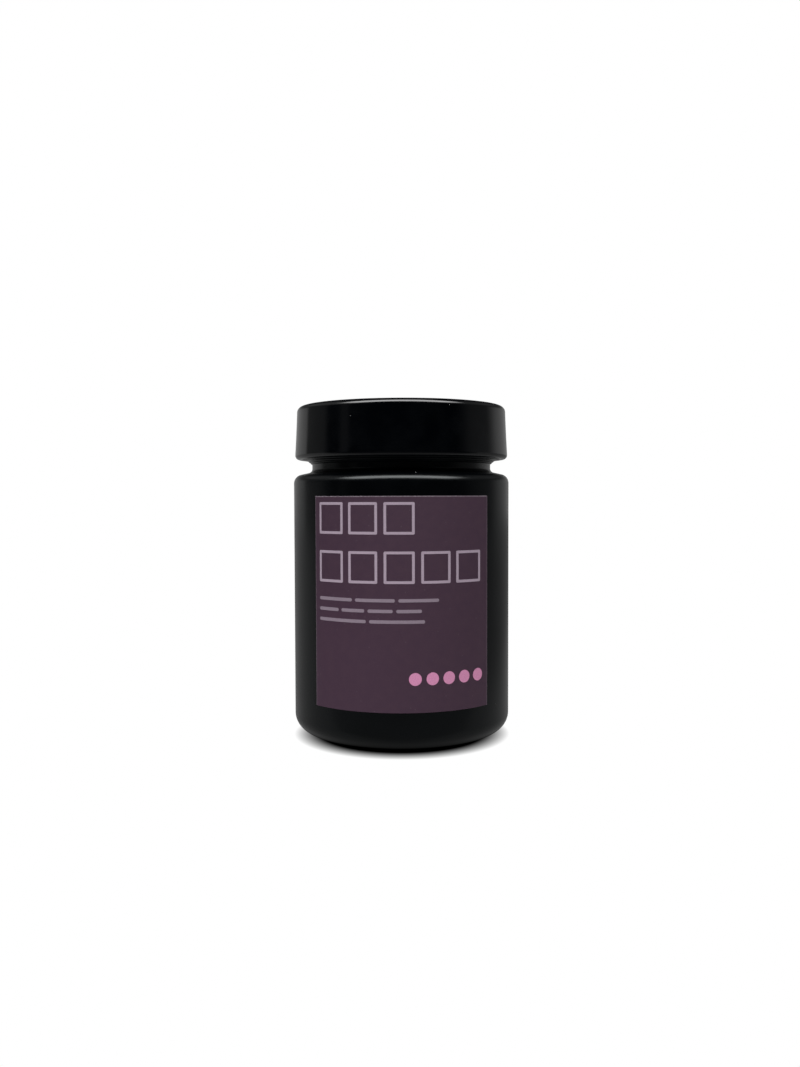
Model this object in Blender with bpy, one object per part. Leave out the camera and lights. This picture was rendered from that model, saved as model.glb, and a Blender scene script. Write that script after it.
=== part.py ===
"""Baba ganoush sold in a shut glass jar: a straight-sided coated jar, its deep twist-off lid and its label.

Metres, +Z up. The origin is the middle of the bearing ring the jar stands on, and the label faces -Y.
The contents can't be seen through the coating, so the jar and what fills it are one solid.
"""

from math import cos, pi, radians, sin

import bmesh
import bpy

# Jar
BODY_RADIUS = 0.03675
HEEL_RADIUS = 0.0060
BEARING_RING_WIDTH = 0.0030
PUSH_UP = 0.0015
SHOULDER_CORNER_RADIUS = 0.0030
SHOULDER_CORNER_Z = 0.0842
SHOULDER_SLOPE_DEG = 12.0
NECK_RADIUS = 0.0305
NECK_BASE_Z = 0.0877
NECK_FILLET = 0.0010
NECK_TOP_Z = 0.0908
BEAD_RADIUS = 0.0320
BEAD_Z = 0.0920

# Lid
TOTAL_HEIGHT = 0.1102
LID_BOTTOM_Z = 0.0922
LID_WIDEST_RADIUS = 0.03626
LID_CURL_RADIUS = 0.0020
LID_CURL_TURN_DEG = 120.0
LID_SIDE_RADIUS = 0.03569
LID_SIDE_Z = 0.1029
LID_TOP_RADIUS = 0.03542
LID_CORNER_RADIUS = 0.0020
STACKING_RING_INNER_RADIUS = 0.0305
PANEL_RADIUS = 0.0295
PANEL_DEPTH = 0.0009
BUTTON_RADIUS = 0.0130
BUTTON_HEIGHT = 0.00045
BUTTON_SLOPE = 0.0012
LID_TOP_THICKNESS = 0.0012

# Label
LABEL_BOTTOM_Z = 0.0127
LABEL_HEIGHT = 0.0672
LABEL_HALF_ANGLE_DEG = 47.85
LABEL_THICKNESS = 0.00025

CLEARANCE = 0.0003
TURN_STEPS = 72
PUSH_UP_STEPS = 4
LABEL_STEPS = 20


def arc(centre, radius, start_deg, end_deg, steps):
    """Points (radius, height) along an arc, both ends included."""
    turns = [start_deg + (end_deg - start_deg) * i / steps for i in range(steps + 1)]
    return [(centre[0] + radius * cos(radians(t)), centre[1] + radius * sin(radians(t))) for t in turns]


def material(name, colour, roughness, metallic=0.0):
    made = bpy.data.materials.new(name)
    made.use_nodes = True
    shader = made.node_tree.nodes["Principled BSDF"]
    shader.inputs["Base Color"].default_value = (*colour, 1.0)
    shader.inputs["Roughness"].default_value = roughness
    shader.inputs["Metallic"].default_value = metallic
    made.diffuse_color = (*colour, 1.0)
    return made


def add_object(name, mesh, finish, base_z, parent):
    mesh.materials.append(finish)
    piece = bpy.data.objects.new(name, mesh)
    piece.location.z = base_z
    piece.parent = parent
    bpy.context.scene.collection.objects.link(piece)
    return piece


def turned(name, profile, finish, base_z, parent):
    """A solid of revolution. Its profile runs from the axis at the top, down the outside, back to the axis."""
    mesh = bpy.data.meshes.new(name)
    points = [(radius, 0.0, height - base_z) for radius, height in profile]
    mesh.from_pydata(points, [(i, i + 1) for i in range(len(points) - 1)], [])
    piece = add_object(name, mesh, finish, base_z, parent)
    screw = piece.modifiers.new("turn", "SCREW")
    screw.steps = TURN_STEPS
    screw.render_steps = TURN_STEPS
    screw.use_merge_vertices = True
    screw.merge_threshold = 0.00001
    screw.use_smooth_shade = True


def jar_profile():
    """Hidden plug inside the lid, bead, neck, shoulder, body, heel, bearing ring and push-up."""
    plug_top = TOTAL_HEIGHT - PANEL_DEPTH - LID_TOP_THICKNESS - CLEARANCE
    plug_edge = arc((BEAD_RADIUS - 0.001, plug_top - 0.001), 0.001, 90, 0, 3)
    bead_slope = [(BEAD_RADIUS, BEAD_Z), (NECK_RADIUS, NECK_TOP_Z)]
    fillet_centre = (NECK_RADIUS + NECK_FILLET, NECK_BASE_Z + NECK_FILLET)
    neck_fillet = arc(fillet_centre, NECK_FILLET, 180, 270 - SHOULDER_SLOPE_DEG, 3)
    shoulder_centre = (BODY_RADIUS - SHOULDER_CORNER_RADIUS, SHOULDER_CORNER_Z)
    shoulder = arc(shoulder_centre, SHOULDER_CORNER_RADIUS, 90 - SHOULDER_SLOPE_DEG, 0, 5)
    heel = arc((BODY_RADIUS - HEEL_RADIUS, HEEL_RADIUS), HEEL_RADIUS, 0, -90, 7)
    ring_inner = BODY_RADIUS - HEEL_RADIUS - BEARING_RING_WIDTH
    push_up = []
    for i in range(PUSH_UP_STEPS + 1):
        share = i / PUSH_UP_STEPS
        push_up.append((ring_inner * (1 - share), PUSH_UP * (1 - cos(pi * share)) / 2))
    return [(0.0, plug_top), *plug_edge, *bead_slope, *neck_fillet, *shoulder, *heel, *push_up]


def lid_profile():
    """Button, sunk panel, stacking ring, tapering side and rolled curl, then the hollow for the jar's plug."""
    panel_z = TOTAL_HEIGHT - PANEL_DEPTH
    button_z = panel_z + BUTTON_HEIGHT
    top = [(0.0, button_z), (BUTTON_RADIUS, button_z), (BUTTON_RADIUS + BUTTON_SLOPE, panel_z)]
    top += [(PANEL_RADIUS, panel_z), (STACKING_RING_INNER_RADIUS, TOTAL_HEIGHT)]
    corner_centre = (LID_TOP_RADIUS - LID_CORNER_RADIUS, TOTAL_HEIGHT - LID_CORNER_RADIUS)
    corner = arc(corner_centre, LID_CORNER_RADIUS, 90, 0, 4)
    curl_centre = (LID_WIDEST_RADIUS - LID_CURL_RADIUS, LID_BOTTOM_Z + LID_CURL_RADIUS)
    curl = arc(curl_centre, LID_CURL_RADIUS, 0, -LID_CURL_TURN_DEG, 7)
    gap_top = curl_centre[1]
    hollow_radius = BEAD_RADIUS + CLEARANCE
    hollow_top = panel_z - LID_TOP_THICKNESS
    hollow = [(curl[-1][0], gap_top), (hollow_radius, gap_top)]
    hollow += [(hollow_radius, hollow_top), (0.0, hollow_top)]
    return [*top, *corner, (LID_SIDE_RADIUS, LID_SIDE_Z), *curl, *hollow]


def label_object(finish, parent):
    """A thin curved sheet round the front of the body, thickened outwards."""
    inner_radius = BODY_RADIUS + CLEARANCE
    half_angle = radians(LABEL_HALF_ANGLE_DEG)
    bm = bmesh.new()
    columns = []
    for i in range(LABEL_STEPS + 1):
        turn = -half_angle + 2 * half_angle * i / LABEL_STEPS
        x = inner_radius * sin(turn)
        y = -inner_radius * cos(turn)
        columns.append((bm.verts.new((x, y, 0.0)), bm.verts.new((x, y, LABEL_HEIGHT))))
    for left, right in zip(columns, columns[1:]):
        bm.faces.new((left[0], right[0], right[1], left[1]))
    mesh = bpy.data.meshes.new("label")
    bm.to_mesh(mesh)
    bm.free()
    mesh.shade_smooth()
    piece = add_object("label", mesh, finish, LABEL_BOTTOM_Z, parent)
    paper = piece.modifiers.new("paper", "SOLIDIFY")
    paper.thickness = LABEL_THICKNESS
    paper.offset = 1.0
    paper.use_even_offset = True


def build():
    for old in list(bpy.data.objects):
        bpy.data.objects.remove(old, do_unlink=True)
    base = bpy.data.objects.new("standingPoint", None)
    bpy.context.scene.collection.objects.link(base)

    coated_glass = material("coatedGlass", (0.0060, 0.0065, 0.0070), 0.32)
    lacquered_metal = material("lacqueredMetal", (0.0040, 0.0045, 0.0050), 0.14)
    label_paper = material("labelPaper", (0.050, 0.028, 0.045), 0.62)

    turned("jar", jar_profile(), coated_glass, 0.0, base)
    turned("lid", lid_profile(), lacquered_metal, LID_BOTTOM_Z, base)
    label_object(label_paper, base)


build()
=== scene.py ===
# A shut jar of baba ganoush: coated glass, a deep twist-off lid and a paper label with plain printed shapes.
import math
import random

import bpy
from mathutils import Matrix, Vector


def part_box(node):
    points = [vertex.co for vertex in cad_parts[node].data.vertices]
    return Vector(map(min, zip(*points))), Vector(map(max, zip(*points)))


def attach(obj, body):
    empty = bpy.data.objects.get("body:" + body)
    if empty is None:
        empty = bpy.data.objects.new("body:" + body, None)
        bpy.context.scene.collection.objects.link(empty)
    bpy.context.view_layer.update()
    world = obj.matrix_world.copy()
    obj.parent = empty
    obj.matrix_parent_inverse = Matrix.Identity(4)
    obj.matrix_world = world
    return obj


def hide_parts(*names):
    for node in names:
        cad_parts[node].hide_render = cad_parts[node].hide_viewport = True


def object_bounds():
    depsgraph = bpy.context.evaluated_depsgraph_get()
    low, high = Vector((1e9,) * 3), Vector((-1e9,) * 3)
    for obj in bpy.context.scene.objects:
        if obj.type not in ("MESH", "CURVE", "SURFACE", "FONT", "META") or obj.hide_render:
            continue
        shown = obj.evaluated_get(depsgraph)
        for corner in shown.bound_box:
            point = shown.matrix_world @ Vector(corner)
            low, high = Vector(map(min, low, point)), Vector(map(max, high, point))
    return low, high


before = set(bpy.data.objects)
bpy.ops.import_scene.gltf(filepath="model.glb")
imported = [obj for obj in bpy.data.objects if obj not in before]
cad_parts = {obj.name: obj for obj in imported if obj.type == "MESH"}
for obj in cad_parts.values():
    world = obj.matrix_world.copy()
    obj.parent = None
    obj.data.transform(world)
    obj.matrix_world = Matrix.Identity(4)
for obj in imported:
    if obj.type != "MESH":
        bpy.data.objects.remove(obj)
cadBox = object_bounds()
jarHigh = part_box("jar")[1]
lidLow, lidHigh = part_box("lid")
labelLow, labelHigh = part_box("label")
mm = 0.001
bodyRadius = jarHigh.x
rimHeight = lidLow.z  # underside of the lid's curl
turnSteps = 240  # columns round the jar and the lid
print("frame loaded")


# small helpers for modelling by hand

def clearSelection():
    if bpy.context.object and bpy.context.object.mode != "OBJECT":
        bpy.ops.object.mode_set(mode="OBJECT")
    bpy.ops.object.select_all(action="DESELECT")


def pick(piece):
    clearSelection()
    piece.select_set(True)
    bpy.context.view_layer.objects.active = piece


def applyModifier(piece, modifier):
    pick(piece)
    bpy.ops.object.modifier_apply(modifier=modifier.name)


def selectFaces(piece, wanted):
    # leaves the piece in edit mode with only the wanted faces selected
    pick(piece)
    bpy.ops.object.mode_set(mode="EDIT")
    bpy.ops.mesh.select_mode(type="FACE")
    bpy.ops.mesh.select_all(action="DESELECT")
    bpy.ops.object.mode_set(mode="OBJECT")
    for face in piece.data.polygons:
        face.select = wanted(face)
    bpy.ops.object.mode_set(mode="EDIT")


def smoothShade(piece):
    pick(piece)
    bpy.ops.object.shade_smooth_by_angle(angle=math.radians(40))


def arcPoints(centre, radius, startDeg, endDeg, steps):
    # (radius from the axis, height) along an arc, both ends included
    points = []
    for i in range(steps + 1):
        turn = math.radians(startDeg + (endDeg - startDeg) * i / steps)
        points.append((centre[0] + radius * math.cos(turn), centre[1] + radius * math.sin(turn)))
    return points


def turnProfile(name, profile):
    # one vertex, extruded down the outline and spun round the axis
    clearSelection()
    bpy.ops.mesh.primitive_plane_add(size=mm, location=(0, 0, 0))
    piece = bpy.context.object
    piece.name = name
    bpy.ops.object.mode_set(mode="EDIT")
    bpy.ops.mesh.select_mode(type="VERT")
    bpy.ops.mesh.merge(type="CENTER")
    bpy.ops.transform.translate(value=(profile[0][0], 0, profile[0][1]))
    for (radiusA, heightA), (radiusB, heightB) in zip(profile, profile[1:]):
        step = (radiusB - radiusA, 0, heightB - heightA)
        bpy.ops.mesh.extrude_vertices_move(TRANSFORM_OT_translate={"value": step})
    bpy.ops.mesh.select_all(action="SELECT")
    bpy.ops.mesh.spin(steps=turnSteps, angle=2 * math.pi, center=(0, 0, 0), axis=(0, 0, 1))
    bpy.ops.mesh.select_all(action="SELECT")
    bpy.ops.mesh.remove_doubles(threshold=0.002 * mm)
    bpy.ops.mesh.normals_make_consistent(inside=False)
    bpy.ops.object.mode_set(mode="OBJECT")
    return piece


def finishPiece(piece, material):
    pick(piece)
    piece.data.materials.clear()
    piece.data.materials.append(material)
    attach(piece, "root")


# helpers for nodes, and the effects that more than one material uses

def newNode(tree, kind, **settings):
    node = tree.nodes.new(kind)
    for name, value in settings.items():
        setattr(node, name, value)
    return node


def newGroup(name, inputs, outputs):
    # inputs are (name, socket type, starting value or None)
    group = bpy.data.node_groups.new(name, "ShaderNodeTree")
    for label, kind, start in inputs:
        socket = group.interface.new_socket(name=label, in_out="INPUT", socket_type=kind)
        if start is not None:
            socket.default_value = start
    for label in outputs:
        group.interface.new_socket(name=label, in_out="OUTPUT", socket_type="NodeSocketFloat")
    return group, newNode(group, "NodeGroupInput"), newNode(group, "NodeGroupOutput")


def makeMottle():
    # slow, cloudy change from 0 to 1, for gloss and tone that are never quite even
    inputs = [("Vector", "NodeSocketVector", None), ("Scale", "NodeSocketFloat", 60.0)]
    group, given, result = newGroup("softMottle", inputs, ["Value"])
    cloud = newNode(group, "ShaderNodeTexNoise")
    cloud.inputs["Detail"].default_value = 4.0
    cloud.inputs["Roughness"].default_value = 0.6
    spread = newNode(group, "ShaderNodeMapRange", interpolation_type="SMOOTHSTEP")
    spread.inputs["From Min"].default_value = 0.32
    spread.inputs["From Max"].default_value = 0.68
    group.links.new(given.outputs["Vector"], cloud.inputs["Vector"])
    group.links.new(given.outputs["Scale"], cloud.inputs["Scale"])
    group.links.new(cloud.outputs["Fac"], spread.inputs["Value"])
    group.links.new(spread.outputs["Result"], result.inputs["Value"])
    return group


def makeCoatSkin():
    # orange peel of a sprayed or baked coat, with finer grain on top
    inputs = [("Vector", "NodeSocketVector", None), ("Peel Scale", "NodeSocketFloat", 500.0),
              ("Grain Scale", "NodeSocketFloat", 6000.0), ("Grain", "NodeSocketFloat", 0.3)]
    group, given, result = newGroup("coatSkin", inputs, ["Height"])
    peel = newNode(group, "ShaderNodeTexNoise")
    peel.inputs["Detail"].default_value = 1.5
    grain = newNode(group, "ShaderNodeTexNoise")
    grain.inputs["Detail"].default_value = 1.0
    blend = newNode(group, "ShaderNodeMix", data_type="FLOAT")
    group.links.new(given.outputs["Vector"], peel.inputs["Vector"])
    group.links.new(given.outputs["Vector"], grain.inputs["Vector"])
    group.links.new(given.outputs["Peel Scale"], peel.inputs["Scale"])
    group.links.new(given.outputs["Grain Scale"], grain.inputs["Scale"])
    group.links.new(given.outputs["Grain"], blend.inputs[0])
    group.links.new(peel.outputs["Fac"], blend.inputs[2])
    group.links.new(grain.outputs["Fac"], blend.inputs[3])
    group.links.new(blend.outputs[0], result.inputs["Height"])
    return group


def makeDust():
    # scattered pin-point dust: 1 on a speck, 0 elsewhere
    inputs = [("Vector", "NodeSocketVector", None), ("Scale", "NodeSocketFloat", 300.0),
              ("Size", "NodeSocketFloat", 0.06), ("Rarity", "NodeSocketFloat", 0.9)]
    group, given, result = newGroup("pinDust", inputs, ["Mask"])
    cells = newNode(group, "ShaderNodeTexVoronoi")
    near = newNode(group, "ShaderNodeMath", operation="LESS_THAN")
    apart = newNode(group, "ShaderNodeSeparateColor")
    rare = newNode(group, "ShaderNodeMath", operation="GREATER_THAN")
    both = newNode(group, "ShaderNodeMath", operation="MULTIPLY")
    group.links.new(given.outputs["Vector"], cells.inputs["Vector"])
    group.links.new(given.outputs["Scale"], cells.inputs["Scale"])
    group.links.new(cells.outputs["Distance"], near.inputs[0])
    group.links.new(given.outputs["Size"], near.inputs[1])
    group.links.new(cells.outputs["Color"], apart.inputs["Color"])
    group.links.new(apart.outputs["Red"], rare.inputs[0])
    group.links.new(given.outputs["Rarity"], rare.inputs[1])
    group.links.new(near.outputs[0], both.inputs[0])
    group.links.new(rare.outputs[0], both.inputs[1])
    group.links.new(both.outputs[0], result.inputs["Mask"])
    return group


softMottle = makeMottle()
coatSkin = makeCoatSkin()
pinDust = makeDust()


def placeGroup(tree, group, vector, **values):
    node = newNode(tree, "ShaderNodeGroup", node_tree=group)
    tree.links.new(vector, node.inputs["Vector"])
    for name, value in values.items():
        node.inputs[name.replace("_", " ")].default_value = value
    return node


def startMaterial(name, roughness=0.5, ior=1.5):
    material = bpy.data.materials.new(name)
    material.use_nodes = True
    tree = material.node_tree
    shader = tree.nodes["Principled BSDF"]
    shader.inputs["Roughness"].default_value = roughness
    shader.inputs["IOR"].default_value = ior
    return material, tree, shader


def feed(tree, given, socket):
    # links another node's socket, or sets a plain number or (r, g, b)
    if isinstance(given, tuple):
        socket.default_value = (*given, 1.0)
    elif isinstance(given, (int, float)):
        socket.default_value = given
    elif given is not None:
        tree.links.new(given, socket)


def mixColours(tree, share, colourA, colourB):
    blend = newNode(tree, "ShaderNodeMix", data_type="RGBA")
    feed(tree, share, blend.inputs[0])
    feed(tree, colourA, blend.inputs[6])
    feed(tree, colourB, blend.inputs[7])
    return blend.outputs[2]


def mixNumbers(tree, share, numberA, numberB):
    blend = newNode(tree, "ShaderNodeMix", data_type="FLOAT")
    feed(tree, share, blend.inputs[0])
    feed(tree, numberA, blend.inputs[2])
    feed(tree, numberB, blend.inputs[3])
    return blend.outputs[0]


def mapRange(tree, value, fromLow, fromHigh, toLow, toHigh):
    ranged = newNode(tree, "ShaderNodeMapRange", interpolation_type="SMOOTHSTEP")
    feed(tree, value, ranged.inputs["Value"])
    for name, number in zip(("From Min", "From Max", "To Min", "To Max"), (fromLow, fromHigh, toLow, toHigh)):
        ranged.inputs[name].default_value = number
    return ranged.outputs["Result"]


def maths(tree, operation, first, second=None):
    node = newNode(tree, "ShaderNodeMath", operation=operation)
    for socket, given in zip(node.inputs, (first, second)):
        feed(tree, given, socket)
    return node.outputs[0]


def flatDistance(tree, across, back):
    squares = maths(tree, "ADD", maths(tree, "MULTIPLY", across, across), maths(tree, "MULTIPLY", back, back))
    return maths(tree, "SQRT", squares)


def addBump(tree, shader, height, strength, distance):
    bump = newNode(tree, "ShaderNodeBump")
    bump.inputs["Strength"].default_value = strength
    bump.inputs["Distance"].default_value = distance
    tree.links.new(height, bump.inputs["Height"])
    tree.links.new(bump.outputs["Normal"], shader.inputs["Normal"])


# the sprayed coat of the jar and the baked lacquer of the lid
jarFinish = {
    "colour": (0.0001, 0.0003, 0.0006),
    "lighter": (0.0003, 0.0006, 0.0010),
    "dust": (0.10, 0.10, 0.10),
    "tint": (0.95, 1.0, 1.0),
    "roughness": (0.20, 0.25),
    "ior": 1.38,
    "cloudScale": 70.0,
    "dustScale": 260.0,
    "dustSize": 0.035,
    "dustRarity": 0.93,
    "peelScale": 900.0,
    "grainScale": 9000.0,
    "grain": 0.35,
    "bump": 0.12,
    "bumpDepth": 0.02 * mm,
}
lidFinish = {
    "colour": (0.0000, 0.0002, 0.0006),
    "lighter": (0.0001, 0.0004, 0.0009),
    "dust": (0.10, 0.10, 0.10),
    "tint": (1.0, 1.0, 1.0),
    "roughness": (0.10, 0.17),
    "ior": 1.58,
    "cloudScale": 90.0,
    "dustScale": 240.0,
    "dustSize": 0.03,
    "dustRarity": 0.93,
    "peelScale": 450.0,
    "grainScale": 5000.0,
    "grain": 0.15,
    "bump": 0.10,
    "bumpDepth": 0.02 * mm,
}


def makeBlackCoat(name, finish):
    # gloss and tone that are slightly cloudy, orange peel and a little dust
    material, tree, shader = startMaterial(name, ior=finish["ior"])
    place = newNode(tree, "ShaderNodeTexCoord").outputs["Object"]
    cloud = placeGroup(tree, softMottle, place, Scale=finish["cloudScale"]).outputs["Value"]
    specks = placeGroup(tree, pinDust, place, Scale=finish["dustScale"], Size=finish["dustSize"],
                        Rarity=finish["dustRarity"])
    coat = mixColours(tree, cloud, finish["colour"], finish["lighter"])
    colour = mixColours(tree, specks.outputs["Mask"], coat, finish["dust"])
    tree.links.new(colour, shader.inputs["Base Color"])
    shader.inputs["Specular Tint"].default_value = (*finish["tint"], 1.0)
    tree.links.new(mapRange(tree, cloud, 0.0, 1.0, *finish["roughness"]), shader.inputs["Roughness"])
    skin = placeGroup(tree, coatSkin, place, Peel_Scale=finish["peelScale"], Grain_Scale=finish["grainScale"],
                      Grain=finish["grain"])
    addBump(tree, shader, skin.outputs["Height"], finish["bump"], finish["bumpDepth"])
    return material


jarSizes = {
    "mouthEdge": 1.0 * mm,
    "plugRadius": 32.0 * mm,
    "beadRadius": 33.4 * mm,
    "beadTop": 0.5 * mm,  # heights are from the lid's rim
    "beadLow": -0.25 * mm,
    "slopeRadius": 31.8 * mm,
    "slopeTop": -0.5 * mm,
    "slopeEnd": -1.6 * mm,
    "ringLines": 2,
    "ringRelief": 0.13 * mm,
    "neckRadius": 30.5 * mm,
    "neckFillet": 1.5 * mm,
    "filletCentre": -3.0 * mm,
    "shoulderCorner": 3.0 * mm,
    "cornerCentre": -8.0 * mm,
    "shoulderSlope": 12.0,
    "heelRadius": 6.0 * mm,
    "bearingRing": 3.0 * mm,
    "ringEdge": 0.3 * mm,
    "pushUp": 1.5 * mm,
    "knurlInset": 0.12 * mm,
    "knurlDepth": 0.18 * mm,
    "seamDepth": 0.0004,  # share of the radius
    "seamHalfWidth": 0.1 * mm,
    "seamInside": 30.0 * mm,  # nothing nearer the axis is touched
    "seamFoot": 1.0 * mm,
    "seamTop": -1.5 * mm,  # from the lid's rim
}


def beadSlope():
    # lower slope of the glass bead, with the fine ring lines of the mould
    sizes = jarSizes
    startPoint = (sizes["slopeRadius"], rimHeight + sizes["slopeTop"])
    endPoint = (sizes["neckRadius"], rimHeight + sizes["slopeEnd"])
    run = (endPoint[0] - startPoint[0], endPoint[1] - startPoint[1])
    length = math.hypot(*run)
    outward = (-run[1] / length, run[0] / length)
    steps = 6 * sizes["ringLines"]
    points = []
    for i in range(steps + 1):
        share = i / steps
        lift = sizes["ringRelief"] * abs(math.sin(math.pi * share * sizes["ringLines"]))
        x = startPoint[0] + run[0] * share + outward[0] * lift
        points.append((x, startPoint[1] + run[1] * share + outward[1] * lift))
    return points


def jarOutline():
    sizes = jarSizes
    mouth = jarHigh.z
    edge = sizes["mouthEdge"]
    plug = sizes["plugRadius"]
    outline = [(0.0, mouth), *arcPoints((plug - edge, mouth - edge), edge, 90, 0, 6)]
    beadMiddle = rimHeight + (sizes["beadTop"] + sizes["beadLow"]) / 2
    half = (sizes["beadTop"] - sizes["beadLow"]) / 2
    outline += [(plug, rimHeight + sizes["beadTop"])]
    outline += arcPoints((sizes["beadRadius"] - half, beadMiddle), half, 90, -80, 8)
    outline += beadSlope()
    fillet = sizes["neckFillet"]
    filletCentre = (sizes["neckRadius"] + fillet, rimHeight + sizes["filletCentre"])
    outline += arcPoints(filletCentre, fillet, 180, 270 - sizes["shoulderSlope"], 8)
    corner = sizes["shoulderCorner"]
    cornerCentre = (bodyRadius - corner, rimHeight + sizes["cornerCentre"])
    outline += arcPoints(cornerCentre, corner, 90 - sizes["shoulderSlope"], 0, 14)
    heel = sizes["heelRadius"]
    ringOuter = bodyRadius - heel
    outline += arcPoints((ringOuter, heel), heel, 0, -90, 18)
    ringInner = ringOuter - sizes["bearingRing"]
    outline += [(ringOuter - sizes["ringEdge"], 0.0), (ringInner + sizes["ringEdge"], 0.0), (ringInner, 0.0)]
    domeSteps = 14
    for i in range(1, domeSteps + 1):
        share = i / domeSteps
        outline.append((ringInner * (1 - share), sizes["pushUp"] * (1 - math.cos(math.pi * share)) / 2))
    return outline


def knurlBearingRing(piece):
    # the little pockets that a mould leaves round the surface a jar stands on
    outer = bodyRadius - jarSizes["heelRadius"] - jarSizes["ringEdge"]
    inner = outer - jarSizes["bearingRing"] + 2 * jarSizes["ringEdge"]

    def onRing(face):
        if face.normal.z > -0.99 or not inner < math.hypot(*face.center.xy) < outer:
            return False
        column = math.floor(math.atan2(face.center.y, face.center.x) / (2 * math.pi) * turnSteps)
        return column % 2 == 0

    selectFaces(piece, onRing)
    bpy.ops.mesh.inset(thickness=jarSizes["knurlInset"], use_individual=True)
    bpy.ops.transform.translate(value=(0, 0, jarSizes["knurlDepth"]))
    bpy.ops.object.mode_set(mode="OBJECT")


def markMouldSeams(piece):
    # the faint upright line on each side where the two halves of the mould met
    sizes = jarSizes
    for vertex in piece.data.vertices:
        onSeam = abs(vertex.co.y) < sizes["seamHalfWidth"] and abs(vertex.co.x) > sizes["seamInside"]
        if onSeam and sizes["seamFoot"] < vertex.co.z < rimHeight + sizes["seamTop"]:
            vertex.co.x *= 1 - sizes["seamDepth"]


def buildJar():
    jar = turnProfile("jarGlass", jarOutline())
    knurlBearingRing(jar)
    markMouldSeams(jar)
    smoothShade(jar)
    finishPiece(jar, makeBlackCoat("coatedGlass", jarFinish))
    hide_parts("jar")
    print("jar modelled")


lidSizes = {
    "wall": 0.25 * mm,
    "cornerRadius": 2.0 * mm,
    "topRadius": 35.56 * mm,
    "widest": lidHigh.x,
    "curlRadius": 1.5 * mm,
    "curlStart": 4.0,
    "curlEnd": -100.0,
    "hemRadius": 0.7 * mm,
    "hemEnd": (0.9 * mm, 0.1 * mm),  # outwards and upwards from the top of the hem
    "sideEnd": 0.2 * mm,  # above the middle of the curl
    "flareCurve": 0.25,  # share of the flare that comes late, near the curl
    "ringInner": 30.8 * mm,
    "ringSlope": 0.6 * mm,
    "panelRadius": 29.2 * mm,
    "panelDepth": 0.9 * mm,
    "stepRadius": 21.0 * mm,
    "stepSlope": 0.5 * mm,
    "stepDepth": 0.2 * mm,
    "buttonRadius": 13.0 * mm,
    "buttonSlope": (0.7 * mm, 0.9 * mm),  # inwards and outwards
    "buttonHeight": 0.45 * mm,
    "lugs": 6,
    "firstLug": 15.0,
    "lugAngle": 9.0,
    "lugReach": 0.55 * mm,
    "lugRise": 0.25 * mm,
    "lugOuter": 34.4 * mm,
    "lugTop": 2.2 * mm,
    "lugFade": 1.0 * mm,
}


def easedStep(startRadius, endRadius, startHeight, endHeight, steps=5):
    # a soft pressed step between two levels of the sheet
    points = []
    for i in range(steps + 1):
        share = i / steps
        eased = (1 - math.cos(math.pi * share)) / 2
        points.append((startRadius + (endRadius - startRadius) * share,
                       startHeight + (endHeight - startHeight) * eased))
    return points


def lidTop(lower):
    # the top from the middle outwards, lowered by the sheet's thickness for its inside
    sizes = lidSizes
    crown = lidHigh.z - lower
    panel = crown - sizes["panelDepth"]
    sunk = panel - sizes["stepDepth"]
    button = sizes["buttonRadius"]
    step = sizes["stepRadius"]
    points = [(0.0, panel + sizes["buttonHeight"])]
    inwards, outwards = sizes["buttonSlope"]
    points += easedStep(button - inwards, button + outwards, panel + sizes["buttonHeight"], panel)
    points += easedStep(step - sizes["stepSlope"], step + sizes["stepSlope"], panel, sunk)
    ringTop = sizes["ringInner"] + sizes["ringSlope"]
    points += easedStep(sizes["panelRadius"], ringTop, sunk, crown, 7)
    return points


def lidSide(inset):
    # the skirt opens slowly at first and faster near the curl
    sizes = lidSizes
    top = lidHigh.z - sizes["cornerRadius"]
    bottom = rimHeight + sizes["curlRadius"] + sizes["sideEnd"]
    late = sizes["flareCurve"]
    steps = 14
    points = []
    for i in range(1, steps):
        share = i / steps
        flare = (sizes["widest"] - sizes["topRadius"]) * ((1 - late) * share + late * share ** 2)
        points.append((sizes["topRadius"] + flare - inset, top + (bottom - top) * share))
    return points


def lidOutline():
    sizes = lidSizes
    corner = sizes["cornerRadius"]
    cornerCentre = (sizes["topRadius"] - corner, lidHigh.z - corner)
    outline = [*lidTop(0.0), *arcPoints(cornerCentre, corner, 90, 2, 16), *lidSide(0.0)]
    curl = sizes["curlRadius"]
    curlCentre = (sizes["widest"] - curl, rimHeight + curl)
    outline += arcPoints(curlCentre, curl, sizes["curlStart"], sizes["curlEnd"], 18)
    hem = sizes["hemRadius"]
    turn = math.radians(sizes["curlEnd"])
    reach = curl - hem
    hemCentre = (curlCentre[0] + reach * math.cos(turn), curlCentre[1] + reach * math.sin(turn))
    outline += arcPoints(hemCentre, hem, sizes["curlEnd"], -270, 12)[1:]
    hemOut, hemUp = sizes["hemEnd"]
    outline += [(hemCentre[0] + hemOut, hemCentre[1] + hem + hemUp)]
    outline += reversed(lidSide(sizes["wall"])[:-1])
    inside = corner - sizes["wall"]
    outline += arcPoints(cornerCentre, inside, 2, 90, 10)
    outline += reversed(lidTop(sizes["wall"]))
    return outline


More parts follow.
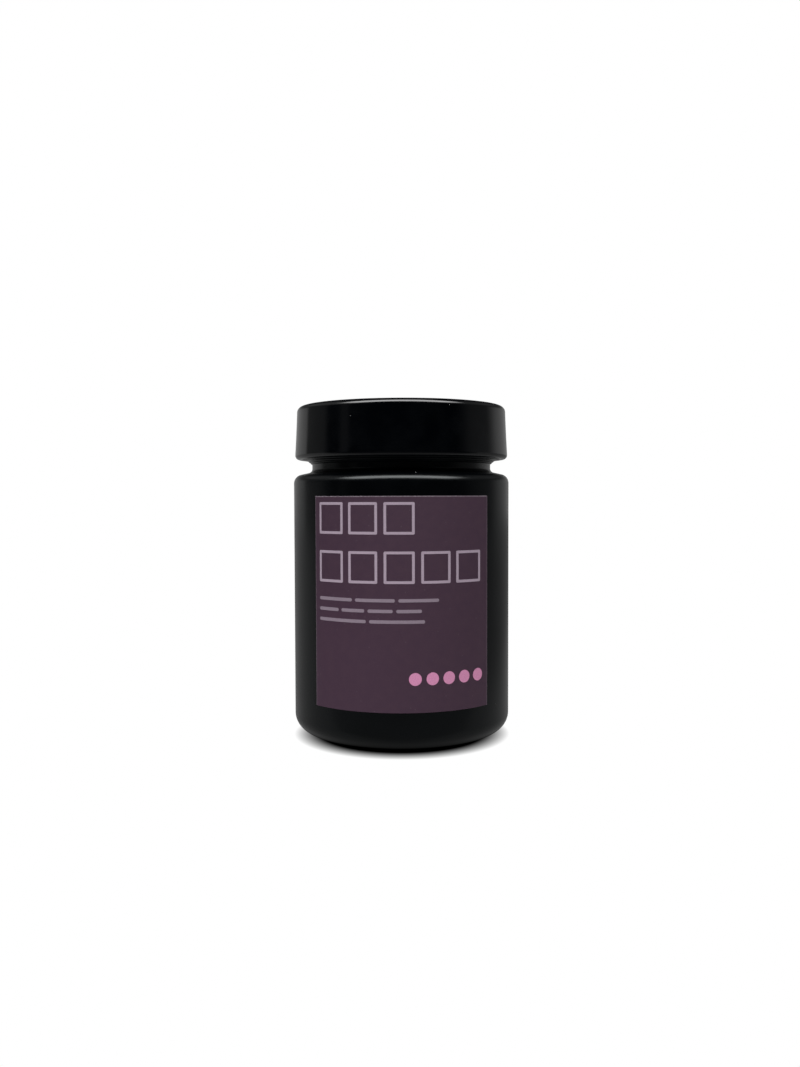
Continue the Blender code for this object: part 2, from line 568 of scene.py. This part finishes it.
def pressLugs(piece):
    # the hem is flattened inwards at even places, where it grips the glass
    sizes = lidSizes
    spacing = 360 / sizes["lugs"]
    for vertex in piece.data.vertices:
        radius = math.hypot(*vertex.co.xy)
        if radius > sizes["lugOuter"] or vertex.co.z > rimHeight + sizes["lugTop"]:
            continue
        turn = math.degrees(math.atan2(vertex.co.y, vertex.co.x)) + sizes["firstLug"]
        off = abs((turn + spacing / 2) % spacing - spacing / 2)
        if off < sizes["lugAngle"]:
            share = (1 + math.cos(math.pi * off / sizes["lugAngle"])) / 2
            depth = min(1.0, (sizes["lugOuter"] - radius) / sizes["lugFade"])
            scale = 1 - sizes["lugReach"] * share * depth / radius
            vertex.co.x *= scale
            vertex.co.y *= scale
            vertex.co.z += sizes["lugRise"] * share * depth


def buildLid():
    lid = turnProfile("twistLid", lidOutline())
    pressLugs(lid)
    smoothShade(lid)
    finishPiece(lid, makeBlackCoat("lacqueredMetal", lidFinish))
    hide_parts("lid")
    print("lid modelled")


# the label and its print are laid out flat and then wrapped round the jar
labelSizes = {
    "bottom": labelLow.z,
    "height": labelHigh.z - labelLow.z,
    "halfAngle": math.asin(labelHigh.x / math.hypot(labelHigh.x, labelHigh.y)),
    "gap": 0.02 * mm,
    "paper": 0.10 * mm,
    "column": 1.0 * mm,
    "inkProud": 0.04 * mm,
    "inkSunk": 0.02 * mm,
}
labelSizes["width"] = 2 * labelSizes["halfAngle"] * bodyRadius


def layFlatMap(piece):
    # a map in millimetres across and up the flat sheet, which stays with the paper when it is wrapped
    layer = piece.data.uv_layers.new(name="flatSheet")
    for loop in piece.data.loops:
        place = piece.data.vertices[loop.vertex_index].co
        layer.data[loop.index].uv = (place.x / mm, place.z / mm)


def cutColumns(piece):
    # upright cuts, close enough for the sheet to follow the glass
    pick(piece)
    bpy.ops.object.mode_set(mode="EDIT")
    across = [vertex.co.x for vertex in piece.data.vertices]
    first = math.floor(min(across) / labelSizes["column"])
    last = math.ceil(max(across) / labelSizes["column"])
    for i in range(first + 1, last):
        bpy.ops.mesh.select_all(action="SELECT")
        bpy.ops.mesh.bisect(plane_co=(i * labelSizes["column"], 0, 0), plane_no=(1, 0, 0))
    bpy.ops.mesh.select_all(action="SELECT")
    bpy.ops.mesh.remove_doubles(threshold=0.001 * mm)
    bpy.ops.object.mode_set(mode="OBJECT")


def thicken(piece, thickness):
    solid = piece.modifiers.new("thickness", "SOLIDIFY")
    solid.thickness = thickness
    solid.offset = -1.0  # away from the front
    applyModifier(piece, solid)


def wrapRoundJar(piece):
    # bends the flat layout to the glass, front outwards, and moves it to its height
    radius = bodyRadius + labelSizes["gap"]
    across = [vertex.co.x for vertex in piece.data.vertices]
    bend = piece.modifiers.new("wrap", "SIMPLE_DEFORM")
    bend.deform_method = "BEND"
    bend.deform_axis = "Z"
    bend.angle = (max(across) - min(across)) / radius
    applyModifier(piece, bend)
    bpy.ops.object.mode_set(mode="EDIT")
    bpy.ops.mesh.select_all(action="SELECT")
    bpy.ops.transform.translate(value=(0, -radius, labelSizes["bottom"]))
    bpy.ops.object.mode_set(mode="OBJECT")


def addFlatPlate(name, left, low, width, height, front):
    # an upright flat plate facing -Y, its front at the given distance before the glass
    clearSelection()
    bpy.ops.mesh.primitive_plane_add(size=1.0, location=(left + width / 2, -front, low + height / 2),
                                     rotation=(math.pi / 2, 0, 0))
    plate = bpy.context.object
    plate.name = name
    plate.scale = (width, height, 1)
    bpy.ops.object.transform_apply(location=True, rotation=True, scale=True)
    return plate


labelFinish = {
    "plum": (0.0395, 0.0158, 0.0315),
    "deepPlum": (0.0320, 0.0117, 0.0280),
    "paleTone": (0.30, 0.26, 0.29),
    "roughness": 0.58,
    "cloudScale": 0.35,
    "fleckScale": 2.2,
    "lintScale": 0.7,
    "lintSize": 0.11,
    "lintRarity": 0.80,
    "lintStrength": 0.10,
    "topFade": (0.364, 0.168),  # millimetres in from the cut edge, where the pale line starts and is full
    "topLine": 0.55,
    "sideFade": (0.28, 0.112),
    "sideLine": 0.28,
    "breakScale": 1.3,
    "breakLeast": 0.45,
    "bump": 0.25,
    "bumpDepth": 0.03 * mm,
}
inkFinish = {
    "pale": (0.302, 0.240, 0.296),
    "fine": (0.192, 0.150, 0.188),
    "pink": (0.50, 0.195, 0.34),
    "roughness": 0.50,
    "coverScale": 2.5,
    "thinCover": 0.86,
    "bump": 0.15,
    "bumpDepth": 0.02 * mm,
}


def flatSheetMap(tree):
    return newNode(tree, "ShaderNodeUVMap", uv_map="flatSheet").outputs["UV"]


def addPaperFibres(tree, shader, sheet, finish):
    fibres = placeGroup(tree, coatSkin, sheet, Peel_Scale=1.6, Grain_Scale=9.0, Grain=0.5)
    addBump(tree, shader, fibres.outputs["Height"], finish["bump"], finish["bumpDepth"])


def paleEdgeLine(tree, sheet):
    # how strongly a pale line is laid along the cut edges, stronger at the top and broken here and there
    finish = labelFinish
    apart = newNode(tree, "ShaderNodeSeparateXYZ")
    tree.links.new(sheet, apart.inputs["Vector"])
    height = labelSizes["height"] / mm
    halfWidth = labelSizes["width"] / mm / 2
    start, full = finish["topFade"]
    top = mapRange(tree, apart.outputs["Y"], height - start, height - full, 0.0, finish["topLine"])
    start, full = finish["sideFade"]
    sideways = maths(tree, "ABSOLUTE", apart.outputs["X"])
    side = mapRange(tree, sideways, halfWidth - start, halfWidth - full, 0.0, finish["sideLine"])
    lineCloud = placeGroup(tree, softMottle, sheet, Scale=finish["breakScale"])
    broken = mapRange(tree, lineCloud.outputs["Value"], 0.0, 1.0, finish["breakLeast"], 1.0)
    return maths(tree, "MULTIPLY", maths(tree, "MAXIMUM", top, side), broken)


def makeLabelPaper():
    finish = labelFinish
    material, tree, shader = startMaterial("labelPaper", finish["roughness"])
    sheet = flatSheetMap(tree)
    cloud = placeGroup(tree, softMottle, sheet, Scale=finish["cloudScale"])
    flecks = placeGroup(tree, softMottle, sheet, Scale=finish["fleckScale"])
    tone = mixNumbers(tree, 0.5, cloud.outputs["Value"], flecks.outputs["Value"])
    plain = mixColours(tree, tone, finish["deepPlum"], finish["plum"])
    lint = placeGroup(tree, pinDust, sheet, Scale=finish["lintScale"], Size=finish["lintSize"],
                      Rarity=finish["lintRarity"])
    lintShare = maths(tree, "MULTIPLY", lint.outputs["Mask"], finish["lintStrength"])
    paper = mixColours(tree, lintShare, plain, finish["paleTone"])
    # a pale line laid along the cut edges, stronger at the top
    colour = mixColours(tree, paleEdgeLine(tree, sheet), paper, finish["paleTone"])
    tree.links.new(colour, shader.inputs["Base Color"])
    addPaperFibres(tree, shader, sheet, finish)
    return material


def makeInk(name, colour):
    material, tree, shader = startMaterial(name, inkFinish["roughness"])
    sheet = flatSheetMap(tree)
    cover = placeGroup(tree, softMottle, sheet, Scale=inkFinish["coverScale"])
    thin = tuple(channel * inkFinish["thinCover"] for channel in colour)
    tree.links.new(mixColours(tree, cover.outputs["Value"], thin, colour), shader.inputs["Base Color"])
    addPaperFibres(tree, shader, sheet, inkFinish)
    return material


def buildLabel():
    sizes = labelSizes
    width = sizes["width"]
    sheet = addFlatPlate("labelSheet", -width / 2, 0.0, width, sizes["height"], sizes["paper"])
    cutColumns(sheet)
    layFlatMap(sheet)
    thicken(sheet, sizes["paper"])
    wrapRoundJar(sheet)
    smoothShade(sheet)
    finishPiece(sheet, makeLabelPaper())
    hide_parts("label")
    print("label wrapped")


# plain outlined tiles, dashes and dots
printSizes = {
    "leftMargin": 2.1 * mm,
    "stroke": 0.85 * mm,
    "tileCorner": 0.45 * mm,
    "tileWidth": 9.6 * mm,
    "tileHeight": 10.0 * mm,
    "tileGap": 2.0 * mm,
    "tileRows": ((55.3 * mm, 3), (40.1 * mm, 5)),  # height of the row's foot, and tiles in it
    "dash": 1.05 * mm,
    "dashRound": 0.45,  # share of the dash's height
    "dashGap": 1.1 * mm,
    # height, whole length and dashes of each row
    "dashRows": ((34.9 * mm, 40.5 * mm, 3), (31.6 * mm, 35.0 * mm, 4), (28.3 * mm, 36.0 * mm, 2)),
    "dotSize": 4.0 * mm,
    "dotPitch": 5.5 * mm,
    "dots": 5,
    "dotHeight": 10.5 * mm,
    "dotsRightMargin": 2.6 * mm,
}


def addTile(left, foot, front):
    # an outlined tile with slightly rounded corners
    tile = addFlatPlate("tile", left, foot, printSizes["tileWidth"], printSizes["tileHeight"], front)
    bpy.ops.object.mode_set(mode="EDIT")
    bpy.ops.mesh.select_all(action="SELECT")
    bpy.ops.mesh.bevel(offset=printSizes["tileCorner"], segments=7, affect="VERTICES")
    bpy.ops.mesh.select_all(action="SELECT")
    bpy.ops.mesh.inset(thickness=printSizes["stroke"], depth=0.0)
    bpy.ops.mesh.delete(type="FACE")
    bpy.ops.object.mode_set(mode="OBJECT")
    return tile


def addDash(left, middle, width, front):
    dash = addFlatPlate("dash", left, middle - printSizes["dash"] / 2, width, printSizes["dash"], front)
    bpy.ops.object.mode_set(mode="EDIT")
    bpy.ops.mesh.select_all(action="SELECT")
    bpy.ops.mesh.bevel(offset=printSizes["dash"] * printSizes["dashRound"], segments=4, affect="VERTICES")
    bpy.ops.object.mode_set(mode="OBJECT")
    return dash


def addDot(centre, height, front):
    clearSelection()
    bpy.ops.mesh.primitive_circle_add(vertices=48, radius=printSizes["dotSize"] / 2, fill_type="NGON",
                                      location=(centre, -front, height), rotation=(math.pi / 2, 0, 0))
    dot = bpy.context.object
    bpy.ops.object.transform_apply(location=True, rotation=True, scale=True)
    return dot


def joinShapes(name, shapes):
    clearSelection()
    for shape in shapes:
        shape.select_set(True)
    bpy.context.view_layer.objects.active = shapes[0]
    bpy.ops.object.join()
    piece = bpy.context.object
    piece.name = name
    return piece


def finishPrint(name, shapes, material):
    piece = joinShapes(name, shapes)
    cutColumns(piece)
    layFlatMap(piece)
    thicken(piece, labelSizes["inkProud"] + labelSizes["inkSunk"])
    wrapRoundJar(piece)
    finishPiece(piece, material)


def buildPrint():
    sizes = printSizes
    front = labelSizes["paper"] + labelSizes["inkProud"]
    leftEdge = -labelSizes["width"] / 2 + sizes["leftMargin"]
    tiles = []
    for foot, count in sizes["tileRows"]:
        for i in range(count):
            left = leftEdge + i * (sizes["tileWidth"] + sizes["tileGap"])
            tiles.append(addTile(left, foot, front))
    finishPrint("printTiles", tiles, makeInk("paleInk", inkFinish["pale"]))
    dashes = []
    for middle, length, count in sizes["dashRows"]:
        pitch = (length + sizes["dashGap"]) / count
        for i in range(count):
            dashes.append(addDash(leftEdge + i * pitch, middle, pitch - sizes["dashGap"], front))
    finishPrint("printDashes", dashes, makeInk("fineInk", inkFinish["fine"]))
    lastDot = labelSizes["width"] / 2 - sizes["dotsRightMargin"] - sizes["dotSize"] / 2
    dots = [addDot(lastDot - i * sizes["dotPitch"], sizes["dotHeight"], front) for i in range(sizes["dots"])]
    finishPrint("printDots", dots, makeInk("pinkInk", inkFinish["pink"]))
    print("label printed")


# a few specks of dust that catch the light
dustFinish = {
    "grey": (0.25, 0.25, 0.25),
    "pale": (0.60, 0.59, 0.57),
    "roughness": 0.9,
    "cloudScale": 2500.0,
    "flatness": 0.75,
    "unevenness": (-0.3, 0.2),  # shares of a speck's size
}
# degrees round from the front, then height, size and distance from the axis in millimetres
dustSpecks = (
    (-26.3, 104.8, 0.15, 35.62),
    (25.0, 108.1, 0.20, 35.42),
    (7.5, 87.22, 0.15, 34.4),
)


def addFlake(turnDeg, height, size, radius):
    clearSelection()
    turn = math.radians(turnDeg)
    place = (radius * math.sin(turn), -radius * math.cos(turn), height)
    bpy.ops.mesh.primitive_ico_sphere_add(subdivisions=2, radius=size, location=place)
    flake = bpy.context.object
    flake.scale = (1.0, 1.0, dustFinish["flatness"])
    bpy.ops.object.transform_apply(location=True, rotation=True, scale=True)
    for vertex in flake.data.vertices:
        vertex.co += vertex.normal * random.uniform(*dustFinish["unevenness"]) * size
    return flake


def buildDust():
    random.seed(7)
    flakes = []
    for turnDeg, height, size, radius in dustSpecks:
        flakes.append(addFlake(turnDeg, height * mm, size * mm, radius * mm))
    dust = joinShapes("dustSpecks", flakes)
    material, tree, shader = startMaterial("dustGrey", dustFinish["roughness"])
    place = newNode(tree, "ShaderNodeTexCoord").outputs["Object"]
    cloud = placeGroup(tree, softMottle, place, Scale=dustFinish["cloudScale"])
    colour = mixColours(tree, cloud.outputs["Value"], dustFinish["grey"], dustFinish["pale"])
    tree.links.new(colour, shader.inputs["Base Color"])
    finishPiece(dust, material)
    print("dust added")


# places and lengths on the floor are in metres from the jar's axis
floorSetup = {
    "size": 8.0,
    "shadeShift": 7.2 * mm,  # the painted shade under the jar reaches further out in front and behind
    "shadeTurn": (10 * mm, 32 * mm),
    "shadeInner": 28.0 * mm,
    "shadeWidth": 8.3 * mm,
    "shadePower": 1.6,
    "bounce": 0.90,
    "farGloss": 0.012,
    "middleGloss": 0.17,
    "closeGloss": 0.09,
    "rightGloss": 0.40,
    "frontFade": (-0.17, -0.06),
    "closeFade": (-0.043, -0.035),
    "rightFade": (0.04, 0.20),
    "underHeel": (0.0325, 0.0365),
}


def openFloor(tree, across, back):
    # painted shade: 0 under the jar, 1 on the open floor; it only scales the floor's glow
    reach = floorSetup["shadeShift"]
    shift = mapRange(tree, back, *floorSetup["shadeTurn"], reach, -reach)
    fromShade = flatDistance(tree, across, maths(tree, "ADD", back, shift))
    away = maths(tree, "SUBTRACT", fromShade, floorSetup["shadeInner"])
    away = maths(tree, "DIVIDE", away, floorSetup["shadeWidth"])
    away = maths(tree, "MINIMUM", maths(tree, "MAXIMUM", away, 0.0), 1.0)
    return maths(tree, "POWER", away, floorSetup["shadePower"])


def floorInGloss(tree, across, back):
    # painted reflection: the floor's glow as the gloss sees it fades out in front, to the right and under the
    # heel
    middle = mapRange(tree, back, *floorSetup["frontFade"], floorSetup["farGloss"], floorSetup["middleGloss"])
    close = mapRange(tree, back, *floorSetup["closeFade"], 0.0, floorSetup["closeGloss"])
    rightFade = mapRange(tree, across, *floorSetup["rightFade"], 1.0, floorSetup["rightGloss"])
    seen = maths(tree, "ADD", maths(tree, "MULTIPLY", middle, rightFade), close)
    fromHeel = mapRange(tree, flatDistance(tree, across, back), *floorSetup["underHeel"], 0.0, 1.0)
    return maths(tree, "MULTIPLY", seen, fromHeel)


def buildFloor():
    # glowing floor with painted light and shade: white to the camera but for the painted shade under the jar,
    # and open from below
    clearSelection()
    bpy.ops.mesh.primitive_plane_add(size=floorSetup["size"], location=(0, 0, 0))
    floor = bpy.context.object
    floor.name = "paleFloor"
    material = bpy.data.materials.new("paleFloor")
    material.use_nodes = True
    tree = material.node_tree
    tree.nodes.remove(tree.nodes["Principled BSDF"])
    apart = newNode(tree, "ShaderNodeSeparateXYZ")
    tree.links.new(newNode(tree, "ShaderNodeTexCoord").outputs["Object"], apart.inputs["Vector"])
    across, back = apart.outputs["X"], apart.outputs["Y"]
    openShare = openFloor(tree, across, back)
    # painted bounce light: for diffuse rays the floor glows, less in the painted shade
    bounce = maths(tree, "MULTIPLY", openShare, floorSetup["bounce"])
    path = newNode(tree, "ShaderNodeLightPath")
    others = mixNumbers(tree, path.outputs["Is Glossy Ray"], bounce, floorInGloss(tree, across, back))
    shown = mixNumbers(tree, path.outputs["Is Camera Ray"], others, openShare)
    glow = newNode(tree, "ShaderNodeEmission")
    tree.links.new(shown, glow.inputs["Strength"])
    through = newNode(tree, "ShaderNodeBsdfTransparent")
    sides = newNode(tree, "ShaderNodeMixShader")
    tree.links.new(newNode(tree, "ShaderNodeNewGeometry").outputs["Backfacing"], sides.inputs["Fac"])
    tree.links.new(glow.outputs["Emission"], sides.inputs[1])
    tree.links.new(through.outputs["BSDF"], sides.inputs[2])
    tree.links.new(sides.outputs["Shader"], tree.nodes["Material Output"].inputs["Surface"])
    floor.data.materials.append(material)


# edges are parts of the direction looked in: across to the right, back away from the front, and up
roomSetup = {
    "sideBlend": 0.15,
    "wallBand": (0.10, 0.34),
    "leftWall": 0.272,
    "leftWallEdge": (0.49, 0.57),
    "rightWall": 0.24,
    "rightWallEdge": (0.24, 0.60),
    "leftDark": 0.0096,
    "leftGrey": 0.1012,
    "leftEdge": (-0.14, 0.04),
    "rightDark": 0.006,
    "rightGrey": 0.088,
    "rightEdge": (-0.55, -0.10),
    "streakAt": -0.45,
    "streakWidth": (0.04, 0.13),
    "streakLight": 0.06,
    "sideHeight": (0.2, 0.6),
    "highSides": 0.35,
    "upperSideLight": 0.24,
    "upperSideAcross": (0.42, 0.75),
    "upperSideHeight": (0.30, 0.50),
    "upperSideRight": 0.6,
    "panelStrength": 7.0,
    "panelNear": (-0.94, -0.74),  # places on the ceiling, for each unit of its height
    "panelFar": (-0.22, -0.10),
    "panelEnds": (0.75, 1.5),
    "panelRise": (0.05, 0.15),
    "panelLowest": 0.02,
}


def farWalls(tree, back, up, leftward, rightward):
    # a pale wall behind on each side, no higher than a band
    light = mapRange(tree, rightward, 0.0, 1.0, roomSetup["leftWall"], roomSetup["rightWall"])
    left = maths(tree, "MULTIPLY", mapRange(tree, back, *roomSetup["leftWallEdge"], 0.0, 1.0), leftward)
    right = maths(tree, "MULTIPLY", mapRange(tree, back, *roomSetup["rightWallEdge"], 0.0, 1.0), rightward)
    band = mapRange(tree, maths(tree, "ABSOLUTE", up), *roomSetup["wallBand"], 1.0, 0.0)
    return maths(tree, "MULTIPLY", maths(tree, "MULTIPLY", maths(tree, "ADD", left, right), band), light)


def roomSides(tree, back, up, leftward, rightward):
    # dark in front and grey at the sides, with one pale upright streak on the left
    right = mapRange(tree, back, *roomSetup["rightEdge"], roomSetup["rightDark"], roomSetup["rightGrey"])
    left = mapRange(tree, back, *roomSetup["leftEdge"], roomSetup["leftDark"], roomSetup["leftGrey"])
    off = maths(tree, "ABSOLUTE", maths(tree, "SUBTRACT", back, roomSetup["streakAt"]))
    streak = mapRange(tree, off, *roomSetup["streakWidth"], roomSetup["streakLight"], 0.0)
    left = maths(tree, "ADD", left, streak)
    right = maths(tree, "MULTIPLY", right, rightward)
    left = maths(tree, "MULTIPLY", left, leftward)
    fade = mapRange(tree, maths(tree, "ABSOLUTE", up), *roomSetup["sideHeight"], 1.0, roomSetup["highSides"])
    return maths(tree, "MULTIPLY", maths(tree, "ADD", right, left), fade)


def upperSides(tree, across, up, rightward):
    # the sides are lighter high up, less so on the right
    outwards = mapRange(tree, maths(tree, "ABSOLUTE", across), *roomSetup["upperSideAcross"], 0.0, 1.0)
    upwards = mapRange(tree, up, *roomSetup["upperSideHeight"], 0.0, roomSetup["upperSideLight"])
    share = mapRange(tree, rightward, 0.0, 1.0, 1.0, roomSetup["upperSideRight"])
    return maths(tree, "MULTIPLY", maths(tree, "MULTIPLY", outwards, upwards), share)


def ceilingPanel(tree, across, back, up):
    # a soft light on the ceiling in front of the jar
    above = maths(tree, "MAXIMUM", up, roomSetup["panelLowest"])
    alongDepth = maths(tree, "DIVIDE", back, above)
    alongWidth = maths(tree, "ABSOLUTE", maths(tree, "DIVIDE", across, above))
    near = mapRange(tree, alongDepth, *roomSetup["panelNear"], 0.0, 1.0)
    far = mapRange(tree, alongDepth, *roomSetup["panelFar"], 1.0, 0.0)
    ends = mapRange(tree, alongWidth, *roomSetup["panelEnds"], 1.0, 0.0)
    light = mapRange(tree, up, *roomSetup["panelRise"], 0.0, roomSetup["panelStrength"])
    return maths(tree, "MULTIPLY", maths(tree, "MULTIPLY", maths(tree, "MULTIPLY", near, far), ends), light)


def buildWorld():
    # white to the camera; for light and reflections a dark room with pale walls behind and a ceiling panel
    world = bpy.data.worlds.new("studio")
    bpy.context.scene.world = world
    world.use_nodes = True
    tree = world.node_tree
    tree.nodes.clear()
    way = newNode(tree, "ShaderNodeSeparateXYZ")
    tree.links.new(newNode(tree, "ShaderNodeTexCoord").outputs["Generated"], way.inputs["Vector"])
    across, back, up = way.outputs["X"], way.outputs["Y"], way.outputs["Z"]
    rightward = mapRange(tree, across, -roomSetup["sideBlend"], roomSetup["sideBlend"], 0.0, 1.0)
    leftward = maths(tree, "SUBTRACT", 1.0, rightward)
    room = roomSides(tree, back, up, leftward, rightward)
    room = maths(tree, "ADD", room, upperSides(tree, across, up, rightward))
    room = maths(tree, "ADD", room, farWalls(tree, back, up, leftward, rightward))
    room = maths(tree, "ADD", room, ceilingPanel(tree, across, back, up))
    path = newNode(tree, "ShaderNodeLightPath")
    background = newNode(tree, "ShaderNodeBackground")
    background.inputs["Color"].default_value = (1.0, 1.0, 1.0, 1.0)
    shown = mixNumbers(tree, path.outputs["Is Camera Ray"], room, 1.0)
    tree.links.new(shown, background.inputs["Strength"])
    output = newNode(tree, "ShaderNodeOutputWorld")
    tree.links.new(background.outputs["Background"], output.inputs["Surface"])


lampSetup = {
    "frontFill": {"place": (-0.55, -0.75, 0.10), "size": 0.5, "power": 0.165},
    "lowFill": {"place": (-0.10, -0.14, 0.003), "size": 0.05, "power": 0.084},
}


def buildLamps():
    # soft fill that lights the paper but doesn't show as a shape in the gloss
    for name, setup in lampSetup.items():
        data = bpy.data.lights.new(name, "AREA")
        data.shape = "SQUARE"
        data.size = setup["size"]
        data.energy = setup["power"]
        lamp = bpy.data.objects.new(name, data)
        bpy.context.scene.collection.objects.link(lamp)
        lamp.location = setup["place"]
        middle = (cadBox[0] + cadBox[1]) / 2
        lamp.rotation_euler = (middle - lamp.location).to_track_quat("-Z", "Y").to_euler()
        lamp.visible_glossy = False
        lamp.visible_camera = False


cameraSetup = {
    "lens": 32.27,
    "distance": 8.985,  # in body radii, as is the height
    "height": 2.166,
    "lookDown": 2.195,  # degrees, as are the next two
    "lookLeft": 0.078,
    "roll": 0.15,
}


def buildCamera():
    data = bpy.data.cameras.new("camera")
    data.lens = cameraSetup["lens"]
    camera = bpy.data.objects.new("camera", data)
    bpy.context.scene.collection.objects.link(camera)
    camera.location = (0, -cameraSetup["distance"] * bodyRadius, cameraSetup["height"] * bodyRadius)
    pitch = math.radians(90 - cameraSetup["lookDown"])
    camera.rotation_euler = (pitch, math.radians(cameraSetup["roll"]), math.radians(cameraSetup["lookLeft"]))
    bpy.context.scene.camera = camera


buildJar()
buildLid()
buildLabel()
buildPrint()
buildDust()
buildFloor()
buildWorld()
buildLamps()
buildCamera()
bpy.context.scene.view_settings.view_transform = "Standard"
print("studio ready")
